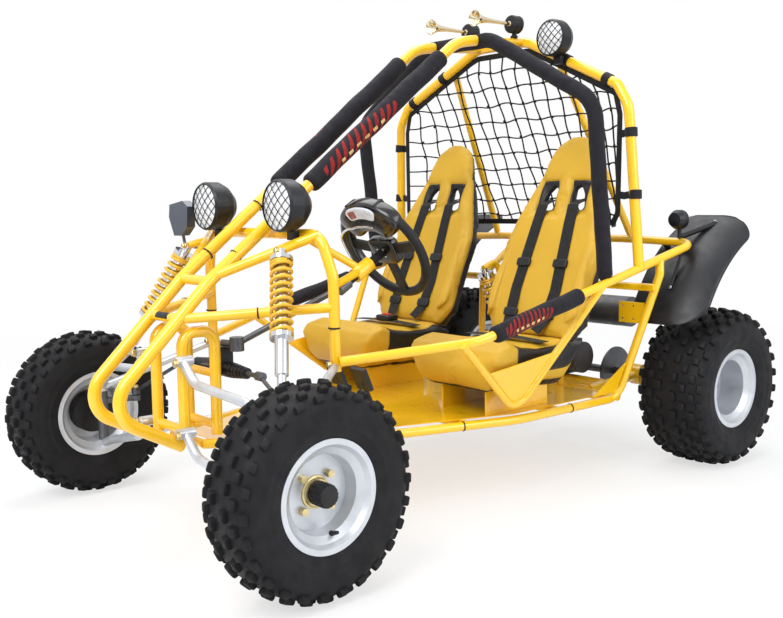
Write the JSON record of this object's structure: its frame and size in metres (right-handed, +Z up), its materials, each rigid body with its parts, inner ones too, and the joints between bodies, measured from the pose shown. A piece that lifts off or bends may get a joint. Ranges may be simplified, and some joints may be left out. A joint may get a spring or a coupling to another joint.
{
  "type": "off-road go-kart",
  "caption": "Two-seat off-road go-kart with a padded tube frame, knobbly tyres, coil struts, bucket seats, net, lamps and horns.",
  "frame": {"origin": "on the ground under the middle of the kart's box", "axes": "Y runs from the nose (-Y) to the tail, X to the kart's left, Z up"},
  "size_m": [1.446, 2.3304, 1.5877],
  "materials": {
    "frame_paint": "gloss yellow paint",
    "foam": "black foam sleeve",
    "webbing": "black webbing and cord",
    "seat_cloth": "mustard vinyl with black side panels",
    "black_plastic": "black moulded plastic",
    "lens": "clear lens",
    "amber": "amber lens",
    "brassy": "plated trumpets",
    "mirror_shell": "dark grey shell",
    "silver_paint": "silver paint",
    "spring_gold": "gold powder coat",
    "bright_steel": "bright plated steel",
    "dark_steel": "dark steel",
    "engine_metal": "cast engine metal",
    "tyre": "black knobbly tyre"
  },
  "bodies": {
    "chassis": {"nose_frame": "frame_paint", "dash_frame": "frame_paint", "front_uprights": "frame_paint", "floor_frame": "frame_paint", "floor_pan": "frame_paint", "side_bar_left": "frame_paint", "side_bar_right": "frame_paint", "front_hoop": "frame_paint", "hoop_pad": "foam", "pillar_pads": "foam", "side_pads": "foam", "rear_hoop": "frame_paint", "rear_frame": "frame_paint", "safety_net": "webbing", "seat_backs": "seat_cloth", "seat_cushions": "seat_cloth", "seat_feet": "black_plastic", "harness": "webbing", "lamp_housings": "black_plastic", "lamp_lenses": "lens", "lamp_guards": "black_plastic", "horns": "brassy", "wing_mirror": "mirror_shell", "turn_signals": "black_plastic", "turn_lenses": "amber", "fenders": "black_plastic", "upper_arms": "silver_paint", "lower_arms": "silver_paint", "front_shocks": "bright_steel", "front_springs": "spring_gold", "rear_shocks": "bright_steel", "rear_springs": "spring_gold", "steering_rack": "black_plastic", "steering_shaft": "dark_steel", "pedals": "black_plastic", "engine": "engine_metal", "chain": "dark_steel", "muffler": "dark_steel", "fuel_tank": "black_plastic", "swing_arm": "frame_paint"},
    "steering_wheel": {"steering_wheel": "black_plastic"},
    "steering_bar": {"tie_rods": "dark_steel"},
    "left_knuckle": {"knuckle_left": "dark_steel"},
    "right_knuckle": {"knuckle_right": "dark_steel"},
    "front_left_wheel": {"front_rim_left": "silver_paint", "front_tyre_left": "tyre", "front_hub_left": "black_plastic"},
    "front_right_wheel": {"front_rim_right": "silver_paint", "front_tyre_right": "tyre", "front_hub_right": "black_plastic"},
    "rear_wheels": {"rear_axle": "dark_steel", "rear_rims": "silver_paint", "rear_tyres": "tyre"}
  },
  "joints": [
    {"name": "steering_turn", "type": "hinge", "parent": "chassis", "child": "steering_wheel", "pos_m": [0.27, -0.351, 0.806], "axis": [0, 0.8572, 0.515], "range_deg": [-120, 120]},
    {"name": "steering_bar_slide", "type": "slide", "parent": "chassis", "child": "steering_bar", "axis": [-1, 0, 0], "range_m": [-0.0461, 0.0461]},
    {"name": "left_knuckle_steer", "type": "hinge", "parent": "chassis", "child": "left_knuckle", "pos_m": [0.52, -0.899, 0.2665], "axis": [0, 0, 1], "range_deg": [-25, 25]},
    {"name": "right_knuckle_steer", "type": "hinge", "parent": "chassis", "child": "right_knuckle", "pos_m": [-0.52, -0.899, 0.2665], "axis": [0, 0, 1], "range_deg": [-25, 25]},
    {"name": "front_left_spin", "type": "hinge", "parent": "left_knuckle", "child": "front_left_wheel", "pos_m": [0.625, -0.899, 0.2665], "axis": [1, 0, 0], "continuous": true},
    {"name": "front_right_spin", "type": "hinge", "parent": "right_knuckle", "child": "front_right_wheel", "pos_m": [-0.625, -0.899, 0.2665], "axis": [1, 0, 0], "continuous": true},
    {"name": "rear_spin", "type": "hinge", "parent": "chassis", "child": "rear_wheels", "pos_m": [0, 0.886, 0.2795], "axis": [1, 0, 0], "continuous": true}
  ],
  "couplings": [
    {"joint": "left_knuckle_steer", "follows": "steering_turn", "ratio": 0.20833},
    {"joint": "right_knuckle_steer", "follows": "steering_turn", "ratio": 0.20833},
    {"joint": "steering_bar_slide", "follows": "steering_turn", "m_per_rad": 0.021793}
  ]
}
